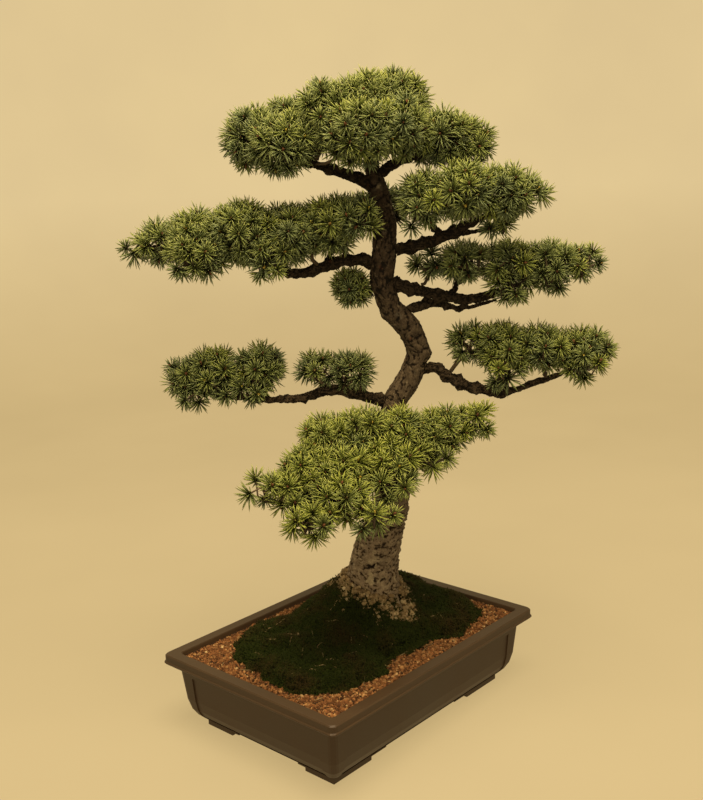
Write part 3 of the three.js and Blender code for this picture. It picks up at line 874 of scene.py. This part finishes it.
def make_pad(index, node, woods, freshness):
    """The needles of one pad, and its twigs with a bud in each tuft."""
    rng = np.random.default_rng(100 + index)
    bases, ways, depths = tuft_places(node, outside, taken_places, rng)
    tilt = ways * np.array([1.0, 1.0, 0.9]) + UP * np.where(ways[:, 2:3] > -0.5, 0.5, 0.0)
    axes = unit(tilt + rng.normal(0, 0.24, ways.shape))
    room = np.clip(depths + NEEDLE_OVERHANG, 0.6 * NEEDLE_LENGTH, NEEDLE_LENGTH)
    sizes = room * rng.uniform(0.86, 1.08, len(bases))
    # tufts that face up are made fresher and lighter as painted light, and deep tufts older and darker as
    # painted shade, besides the needles' own fresh and old tones
    tones = freshness + rng.normal(0, 0.20, len(bases)) + 0.12 * ways[:, 2] - 0.15 * (depths > SHELL[1])
    arrays = tufts(bases, axes, sizes, tones, rng)
    needles = mesh_piece(node.replace("foliage", "needles"), arrays[0], arrays[1], NEEDLES, arrays[2])
    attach(needles, "root")
    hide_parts(node)

    anchors = np.concatenate([node_arrays(wood)[0] for wood in woods])
    low, high = (np.array(corner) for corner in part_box(node))
    near = anchors[np.all((anchors > low - TWIG_REACH) & (anchors < high + TWIG_REACH), axis=1)]
    sticks = grow_twigs(bases, axes, near, rng)
    buds = [
        bud(base + axis * 0.003, axis, rng.uniform(*BUD_RADII) * MM)
        for base, axis in zip(bases, axes)
    ]
    shades = rng.random(len(sticks) + len(buds)) ** 1.5
    vertices, faces, uv = joined(sticks + buds, lambda i: (shades[i], 0.25 if i < len(sticks) else 0.75))
    twigs = mesh_piece(node.replace("foliage", "twigs"), vertices, faces, TWIGS, uv)
    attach(twigs, "root")


for index, (node, (woods, freshness)) in enumerate(PADS.items()):
    make_pad(index, node, woods, freshness)

# ------------------------------------------------------------------ ground in the pot

GRANULE_SIZE = 1.75 * MM
GRANULE_SPACING = 2.8 * MM
GRANULE_LAYERS = 2
LAYER_RISE = 0.0016
GRANULE_EDGE = 0.003  # the granules' middles stay this far inside the gravel's sides
SHAPE_COUNT = 24  # different pebbles in one scatter
RAY_START = 0.5  # rays that look for the ground start at this height and go down


def pebble_shapes(count, rng):
    """A few lumpy closed shapes of radius 1: (vertices, faces)."""
    made = bmesh.new()
    bmesh.ops.create_icosphere(made, subdivisions=1, radius=1)
    base = np.array([v.co for v in made.verts])
    faces = np.array([[v.index for v in face.verts] for face in made.faces])
    made.free()
    shapes = []
    for _ in range(count):
        stretch = rng.uniform(0.72, 1.28, 3)
        shapes.append(base * stretch * rng.uniform(0.78, 1.2, (len(base), 1)))
    return shapes, faces


def rotations(count, rng):
    """Random rotation matrices."""
    q = unit(rng.normal(size=(count, 4)))
    w, x, y, z = q.T
    return np.stack([
        1 - 2 * (y * y + z * z), 2 * (x * y - z * w), 2 * (x * z + y * w),
        2 * (x * y + z * w), 1 - 2 * (x * x + z * z), 2 * (y * z - x * w),
        2 * (x * z - y * w), 2 * (y * z + x * w), 1 - 2 * (x * x + y * y),
    ], axis=1).reshape(-1, 3, 3)


def scatter_pebbles(name, places, sizes, hues, rng, material):
    """One piece of many pebbles, turned at random."""
    shapes, faces = pebble_shapes(SHAPE_COUNT, rng)
    picks = rng.integers(0, len(shapes), len(places))
    turns = rotations(len(places), rng)
    local = np.array(shapes)[picks] * sizes[:, None, None]
    vertices = np.einsum("nij,nkj->nki", turns, local) + places[:, None]
    per = local.shape[1]
    all_faces = (faces[None] + per * np.arange(len(places))[:, None, None]).reshape(-1, 3)
    uv = np.repeat(np.stack([hues, rng.random(len(places))], axis=1), per, axis=0)
    return mesh_piece(name, vertices.reshape(-1, 3), all_faces, material, uv, smooth=False)


def sprinkle(low, high, spacing, accept, rng):
    """Points on a jittered grid over a rectangle, kept where accept(x, y) says so."""
    xs = np.arange(low[0], high[0], spacing)
    ys = np.arange(low[1], high[1], spacing)
    grid = np.stack(np.meshgrid(xs, ys), axis=-1).reshape(-1, 2)
    grid = grid + rng.uniform(-0.42, 0.42, grid.shape) * spacing
    return grid[[accept(x, y) for x, y in grid]]


def ground_height(tree, x, y):
    """The height of a surface at a place, or None where it has none there."""
    hit = tree.ray_cast(Vector((x, y, RAY_START)), Vector((0, 0, -1)))[0]
    return hit.z if hit else None


def on_gravel(x, y):
    return ground_height(gravel_tree, x, y) is not None


gravel_tree = tree_of("gravel")

MOSS_VOXEL = 1.8 * MM
MOSS_ROUNDS = 6
CUSHION_SPACING = 15 * MM
CUSHION_RISE = 3.2 * MM


def moss_relief(vertices):
    """How far the moss bulges out at each vertex, in metres: cushions, with smaller lumps on them."""
    relief = np.empty(len(vertices))
    for i, place in enumerate(vertices):
        p = Vector(place)
        (first, *_), _ = noise.voronoi(p / CUSHION_SPACING)
        cushion = CUSHION_RISE * (0.6 - first) + 5 * MM * (0.5 + noise.noise(p / (30 * MM)))
        relief[i] = cushion + 2.6 * MM * noise.fractal(p / (7 * MM), 0.7, 2.0, 3)
    return relief


def make_moss():
    """The cushion's search tree, vertices and normals."""
    mesh = remeshed("moss", MOSS_VOXEL)
    vertices, edges = mesh_numbers(mesh)
    vertices = relax(vertices, edges, MOSS_ROUNDS)
    put_vertices(mesh, vertices)
    normals = normals_of(mesh)
    outward = np.clip(normals[:, 2] * 4 + 0.6, 0, 1)
    vertices = vertices + normals * (moss_relief(vertices) * outward)[:, None]
    put_vertices(mesh, vertices)
    piece = finished("moss_cushion", mesh, MOSS)
    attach(piece, "root")
    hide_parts("moss")
    return search_tree(vertices, arrays_of(mesh)[1]), vertices, normals_of(mesh)


moss_tree, moss_vertices, moss_normals = make_moss()


def moss_creep(x, y, z):
    """How far the moss has spread over the gravel at a place, in metres; negative where it has not."""
    near = moss_tree.find_nearest(Vector((x, y, z)))[3]
    p = Vector((x, y, 0))
    return 4 * MM + 11 * MM * noise.noise(p / (24 * MM)) + 4 * MM * noise.noise(p / (6 * MM)) - near


def make_gravel():
    """Clay granules in layers over the gravel, except where moss covers it."""
    rng = np.random.default_rng(7)
    low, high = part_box("gravel")
    first = (low[0] + GRANULE_EDGE, low[1] + GRANULE_EDGE)
    last = (high[0] - GRANULE_EDGE, high[1] - GRANULE_EDGE)
    places = []
    for layer in range(GRANULE_LAYERS):
        for x, y in sprinkle(first, last, GRANULE_SPACING, on_gravel, rng):
            z = ground_height(gravel_tree, x, y)
            if moss_creep(x, y, z) > 0:
                continue
            z += -0.0012 + LAYER_RISE * layer + 0.0009 * noise.noise(Vector((x, y, 0)) / 0.022)
            places.append((x, y, z))
    places = np.array(places)
    sizes = GRANULE_SIZE * rng.uniform(0.55, 1.3, len(places))
    hues = np.clip(rng.normal(0.46, 0.22, len(places)), 0, 1)
    piece = scatter_pebbles("gravel_granules", places, sizes, hues, rng, GRANULES)
    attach(piece, "root")


CRUMB_REACH = 19 * MM
CRUMB_SIZE = 2.4 * MM
CRUMB_TRIES = 12000
CRUMB_FIELD = 0.09  # half the side of the square around the trunk in which crumbs may lie
HEAP_HEIGHT = 8 * MM
STREWN_SHARE = 0.0015  # of the tries that leave a crumb far from the trunk


def make_crumbs():
    """Tan crumbs of soil heaped around the foot of the trunk, with a few strewn over the moss."""
    rng = np.random.default_rng(9)
    trunk = tree_of("trunk")
    foot = trunk_foot()
    places = []
    for x, y in foot + rng.uniform(-CRUMB_FIELD, CRUMB_FIELD, (CRUMB_TRIES, 2)):
        z = ground_height(moss_tree, x, y)
        if z is None or is_inside(trunk, (x, y, z)):
            continue
        gap = trunk.find_nearest(Vector((x, y, z)))[3]
        reach = CRUMB_REACH * (0.8 + 0.9 * noise.noise(Vector((x, y, 0)) / (16 * MM)))
        if gap < reach * (0.35 + 0.65 * rng.random()) or rng.random() < STREWN_SHARE:
            heap = HEAP_HEIGHT * max(0.0, 1 - gap / reach)
            places.append((x, y, z + 0.5 * MM + heap * rng.random()))
    places = np.array(places)
    sizes = CRUMB_SIZE * rng.uniform(0.4, 1.3, len(places))
    hues = np.clip(rng.normal(0.60, 0.24, len(places)), 0, 1)
    piece = scatter_pebbles("base_crumbs", places, sizes, hues, rng, CRUMBS)
    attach(piece, "root")


STEM_SPACING = 2.1 * MM
STEMS_PER_POINT = 3
STEM_LENGTHS = (0.0025, 0.0065)
STEM_STRIPS = 6  # the stems are cut into strips along X, so that no one mesh is very large


def creeping_points(rng):
    """Points where the moss has grown out over the gravel."""
    low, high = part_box("gravel")
    points = sprinkle(low, high, STEM_SPACING, on_gravel, rng)
    heights = [ground_height(gravel_tree, x, y) for x, y in points]
    placed = np.column_stack([points, heights])
    return placed[[moss_creep(x, y, z) > -1 * MM for x, y, z in placed]]


def make_moss_stems():
    """Short stems all over the cushion and where the moss has crept over the gravel."""
    rng = np.random.default_rng(8)
    open_air = moss_normals[:, 2] > 0.12
    creeping = creeping_points(rng)
    points = np.concatenate([moss_vertices[open_air], creeping])
    normals = np.concatenate([moss_normals[open_air], np.broadcast_to(UP, creeping.shape)])
    count = len(points) * STEMS_PER_POINT
    feet = np.repeat(points, STEMS_PER_POINT, axis=0) + rng.normal(0, 0.0009, (count, 3))
    lean = rng.normal(0, 0.65, (count, 3))
    directions = unit(np.repeat(normals, STEMS_PER_POINT, axis=0) + UP * 0.3 + lean)
    lengths = rng.uniform(*STEM_LENGTHS, count)
    places = [Vector(p) for p in points]
    drift = np.array([noise.noise(p / 0.03) + 0.5 * noise.noise(p / 0.009) for p in places])
    tones = np.repeat(0.20 + 0.9 * drift, STEMS_PER_POINT) + rng.normal(0, 0.16, count)
    tones = np.clip(tones, 0.02, 0.98)
    strips = np.array_split(np.argsort(feet[:, 0], kind="stable"), STEM_STRIPS)
    for number, strip in enumerate(strips, 1):
        ways = directions[strip]
        arrays = needle_arrays(feet[strip] - ways * 0.001, ways, ways * 0, lengths[strip], tones[strip])
        piece = mesh_piece(f"moss_stems_{number}", arrays[0], arrays[1], MOSS_STEMS, arrays[2])
        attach(piece, "root")


STRAND_COUNT = 70
STRAND_LENGTH = (8 * MM, 20 * MM)
STRAND_RADII = np.array([0.3, 0.6, 0.65, 0.5, 0.2]) * MM
STRAND_EDGE = 0.02  # a strand starts at least this far inside the gravel's sides
STRAND_CLEARANCE = 2.5 * MM


def make_strands():
    """Dead needles and dry strands lying on the moss and the gravel."""
    rng = np.random.default_rng(10)
    low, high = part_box("gravel")
    parts = []
    while len(parts) < STRAND_COUNT:
        x = rng.uniform(low[0] + STRAND_EDGE, high[0] - STRAND_EDGE)
        y = rng.uniform(low[1] + STRAND_EDGE, high[1] - STRAND_EDGE)
        heading = rng.uniform(0, 2 * math.pi)
        length = rng.uniform(*STRAND_LENGTH)
        bend = rng.normal(0, 0.12)
        points = []
        for step in range(len(STRAND_RADII)):
            grounds = [ground_height(tree, x, y) for tree in (moss_tree, gravel_tree)]
            grounds = [z for z in grounds if z is not None]
            if not grounds:
                break
            points.append((x, y, max(grounds) + STRAND_CLEARANCE))
            x += math.cos(heading + bend * step) * length / 4
            y += math.sin(heading + bend * step) * length / 4
        if len(points) == len(STRAND_RADII):
            parts.append(stick(points, STRAND_RADII, 4))
    tones = rng.random(len(parts))
    vertices, faces, uv = joined(parts, lambda i: (0.5, tones[i]))
    piece = mesh_piece("dry_strands", vertices, faces, STRANDS, uv)
    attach(piece, "root")


make_gravel()
make_crumbs()
make_moss_stems()
make_strands()

# ------------------------------------------------------------------ carried-over nodes

POT_BEVEL = 0.9 * MM


def soften_edges(node):
    """Rounds the sharp edges of a carried-over node."""
    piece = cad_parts[node]
    weld = piece.modifiers.new("weld", "WELD")
    weld.merge_threshold = 1e-5
    bevel = piece.modifiers.new("bevel", "BEVEL")
    bevel.width = POT_BEVEL
    bevel.segments = 3
    bevel.limit_method = "ANGLE"
    bevel.angle_limit = math.radians(28)


soften_edges("pot")
for node, material in (
    ("pot", CLAY), ("soil", SOIL), ("gravel", SHADED_GRAVEL_BED),
    ("drain_screen_left", PLASTIC), ("drain_screen_right", PLASTIC),
):
    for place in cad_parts[node].material_slots:
        place.link = "OBJECT"
        place.material = material

# ------------------------------------------------------------------ stage and light

STAGE_RADIUS = 3.2
STAGE_CURVE = 1.2  # the radius of the bend from the floor to the wall
STAGE_HEIGHT = 4.0
STAGE_SIDES = 96
CURVE_STEPS = 12
LIGHT_COLOUR = (1.0, 0.80, 0.50)
WORLD_STRENGTH = 0.22
LIGHTS = (  # name, place, what it is aimed at, size, watts
    ("overhead", (-0.42, -0.43, 2.3), (0, 0, 0.4), 1.5, 58),
    ("fill", (-1.7, -1.25, 0.75), (0, 0, 0.2), 1.2, 9),
)


def make_stage():
    """A round pale floor that curves up into a wall on every side."""
    flat = STAGE_RADIUS - STAGE_CURVE
    profile = [(0.6, 0.0), (flat, 0.0)]
    for step in range(1, CURVE_STEPS + 1):
        angle = math.pi / 2 * step / CURVE_STEPS
        profile.append((
            flat + STAGE_CURVE * math.sin(angle),
            STAGE_CURVE - STAGE_CURVE * math.cos(angle),
        ))
    profile.append((STAGE_RADIUS, STAGE_HEIGHT))
    turns = 2 * math.pi * np.arange(STAGE_SIDES) / STAGE_SIDES
    rings = [[(r * math.cos(t), r * math.sin(t), z) for t in turns] for r, z in profile]
    vertices = np.concatenate([[[0, 0, 0]], np.array(rings).reshape(-1, 3)])
    triangles = [[0, 1 + i, 1 + (i + 1) % STAGE_SIDES] for i in range(STAGE_SIDES)]
    for row in range(len(rings) - 1):
        for i in range(STAGE_SIDES):
            a = 1 + row * STAGE_SIDES + i
            b = 1 + row * STAGE_SIDES + (i + 1) % STAGE_SIDES
            triangles += [[a, a + STAGE_SIDES, b + STAGE_SIDES], [a, b + STAGE_SIDES, b]]
    floor = mesh_piece("floor", vertices, np.array(triangles), floor_material())
    floor.visible_diffuse = False
    floor.visible_shadow = False


def area_light(name, place, aim, size, power):
    data = bpy.data.lights.new(name, "AREA")
    data.shape = "DISK"
    data.size = size
    data.energy = power
    data.color = LIGHT_COLOUR
    light = bpy.data.objects.new(name, data)
    light.location = place
    way = Vector(aim) - Vector(place)
    light.rotation_euler = way.to_track_quat("-Z", "Y").to_euler()
    bpy.context.scene.collection.objects.link(light)


def make_world():
    world = bpy.data.worlds.new("studio")
    world.use_nodes = True
    background = world.node_tree.nodes["Background"]
    background.inputs["Color"].default_value = (*LIGHT_COLOUR, 1)
    background.inputs["Strength"].default_value = WORLD_STRENGTH
    bpy.context.scene.world = world


make_stage()
make_world()
for light in LIGHTS:
    area_light(*light)
bpy.context.scene.view_settings.view_transform = "Standard"
